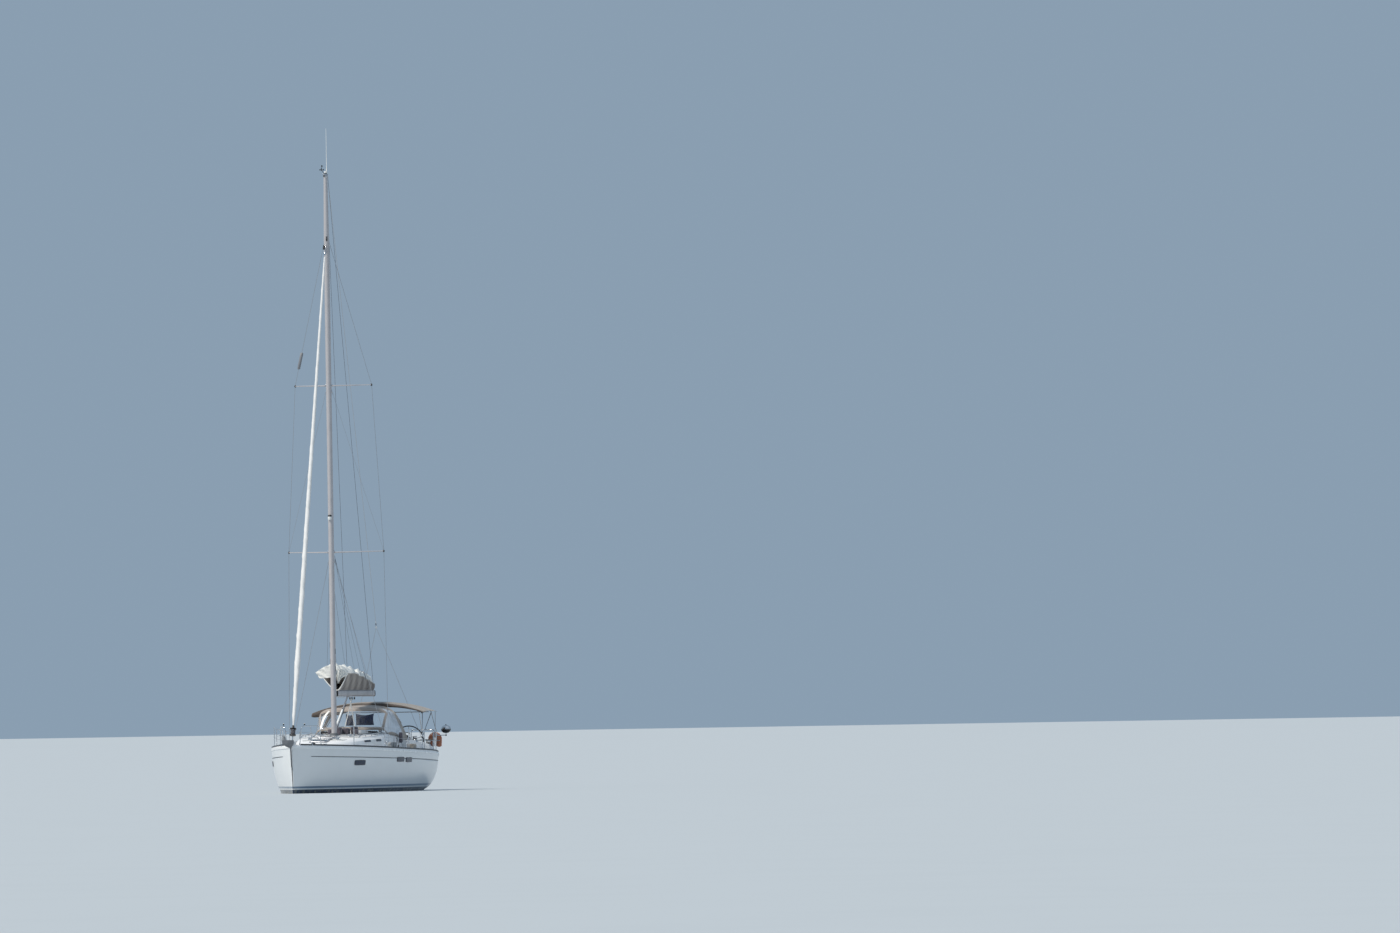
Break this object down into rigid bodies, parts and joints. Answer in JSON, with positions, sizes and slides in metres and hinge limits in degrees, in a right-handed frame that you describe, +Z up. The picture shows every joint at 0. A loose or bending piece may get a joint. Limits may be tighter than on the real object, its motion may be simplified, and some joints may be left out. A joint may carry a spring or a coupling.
{
  "type": "sailing yacht",
  "caption": "Cruising sloop afloat with furled headsail, stowed mainsail, sprayhood, bimini, twin wheels, fin keel, spade rudder and working hatches.",
  "frame": {"origin": "on the waterline amidships, on the centreline", "axes": "+X forward, +Y to port, +Z up"},
  "size_m": [12.3996, 3.9544, 21.6],
  "materials": {
    "gelcoat": "white gelcoat, glossy",
    "deck": "white moulded non-slip deck",
    "teak": "weathered teak",
    "dark_trim": "dark grey composite or galvanised steel",
    "antifouling": "navy antifouling paint",
    "alloy": "anodised aluminium",
    "steel": "polished stainless steel",
    "black": "black",
    "smoked": "smoked acrylic",
    "canvas": "taupe woven canvas",
    "sailcloth": "white sailcloth",
    "orange": "faded orange cover",
    "bronze": "bronze"
  },
  "bodies": {
    "boat": {"hull": "gelcoat", "pedestal_port": "gelcoat", "pedestal_starboard": "gelcoat", "deck": "deck", "coachroof": "deck", "cockpit": "deck", "companion_steps": "teak", "cockpit_table": "teak", "toe_rail_port": "dark_trim", "toe_rail_starboard": "dark_trim", "anchor": "dark_trim", "engine": "antifouling", "keel": "antifouling", "saildrive_leg": "alloy", "mast": "alloy", "spreader_lower_port": "alloy", "spreader_lower_starboard": "alloy", "spreader_upper_port": "alloy", "spreader_upper_starboard": "alloy", "cap_shroud_port": "steel", "cap_shroud_starboard": "steel", "lower_shroud_port": "steel", "lower_shroud_starboard": "steel", "pulpit_port": "steel", "pulpit_starboard": "steel", "guard_lines_port": "steel", "guard_lines_starboard": "steel", "pushpit_port": "steel", "pushpit_starboard": "steel", "forestay_head": "steel", "backstay": "steel", "bow_roller": "steel", "bimini_frame": "steel", "rail_grill": "steel", "washboard": "smoked", "sprayhood": "canvas", "bimini": "canvas", "lifebuoy": "orange"},
    "rudder": {"rudder": "antifouling"},
    "wheel_port": {"wheel_port": "black"},
    "wheel_starboard": {"wheel_starboard": "black"},
    "propeller": {"propeller": "bronze"},
    "boom": {"boom": "alloy", "sail_bag": "canvas", "stowed_mainsail": "sailcloth"},
    "furled_genoa": {"furled_genoa": "sailcloth"},
    "anchor_locker_lid": {"anchor_locker_lid": "deck"},
    "foredeck_hatch": {"foredeck_hatch": "smoked"},
    "saloon_hatch": {"saloon_hatch": "smoked"},
    "companion_hatch": {"companion_hatch": "smoked"},
    "seat_lid_port": {"seat_lid_port": "teak"},
    "seat_lid_starboard": {"seat_lid_starboard": "teak"},
    "table_leaf_port": {"table_leaf_port": "teak"},
    "table_leaf_starboard": {"table_leaf_starboard": "teak"},
    "transom_platform": {"transom_platform": "gelcoat"}
  },
  "joints": [
    {"name": "rudder_stock", "type": "hinge", "parent": "boat", "child": "rudder", "pos_m": [-5.2, 0, -0.2], "axis": [0, 0, 1], "range_deg": [-35, 35]},
    {"name": "wheel_port_turn", "type": "hinge", "parent": "boat", "child": "wheel_port", "pos_m": [-4.26, 1.02, 1.46], "axis": [1, 0, 0], "range_deg": [-270, 270]},
    {"name": "wheel_starboard_turn", "type": "hinge", "parent": "boat", "child": "wheel_starboard", "pos_m": [-4.26, -1.02, 1.46], "axis": [1, 0, 0], "range_deg": [-270, 270]},
    {"name": "propeller_spin", "type": "hinge", "parent": "boat", "child": "propeller", "pos_m": [-3.08, 0, -0.8], "axis": [1, 0, 0], "continuous": true},
    {"name": "boom_swing", "type": "hinge", "parent": "boat", "child": "boom", "pos_m": [0.61, 0, 2.9], "axis": [0, 0, 1], "range_deg": [-40, 40]},
    {"name": "genoa_furl", "type": "hinge", "parent": "boat", "child": "furled_genoa", "pos_m": [5.83, 0, 1.44], "axis": [-0.319, 0, 0.9478], "continuous": true},
    {"name": "anchor_locker_hinge", "type": "hinge", "parent": "boat", "child": "anchor_locker_lid", "pos_m": [4.75, 0, 1.4], "axis": [0, -1, 0], "range_deg": [0, 90]},
    {"name": "foredeck_hatch_hinge", "type": "hinge", "parent": "boat", "child": "foredeck_hatch", "pos_m": [2.8, 0, 1.475], "axis": [0, 1, 0], "range_deg": [0, 90]},
    {"name": "saloon_hatch_hinge", "type": "hinge", "parent": "boat", "child": "saloon_hatch", "pos_m": [1.85, 0, 1.58], "axis": [0, 1, 0], "range_deg": [0, 90]},
    {"name": "companion_hatch_slide", "type": "slide", "parent": "boat", "child": "companion_hatch", "axis": [1, 0, 0], "range_m": [0, 0.6]},
    {"name": "seat_lid_port_hinge", "type": "hinge", "parent": "boat", "child": "seat_lid_port", "pos_m": [-3, 1.27, 1.135], "axis": [-1, 0, 0], "range_deg": [0, 80]},
    {"name": "seat_lid_starboard_hinge", "type": "hinge", "parent": "boat", "child": "seat_lid_starboard", "pos_m": [-3, -1.27, 1.135], "axis": [1, 0, 0], "range_deg": [0, 80]},
    {"name": "table_leaf_port_hinge", "type": "hinge", "parent": "boat", "child": "table_leaf_port", "pos_m": [-3.2, 0.15, 1.348], "axis": [1, 0, 0], "range_deg": [0, 90]},
    {"name": "table_leaf_starboard_hinge", "type": "hinge", "parent": "boat", "child": "table_leaf_starboard", "pos_m": [-3.2, -0.15, 1.348], "axis": [-1, 0, 0], "range_deg": [0, 90]},
    {"name": "transom_platform_hinge", "type": "hinge", "parent": "boat", "child": "transom_platform", "pos_m": [-6, 0, 0.42], "axis": [0, -1, 0], "range_deg": [0, 90]}
  ],
  "couplings": [
    {"joint": "wheel_port_turn", "follows": "rudder_stock", "ratio": 7.7},
    {"joint": "wheel_starboard_turn", "follows": "rudder_stock", "ratio": 7.7}
  ]
}
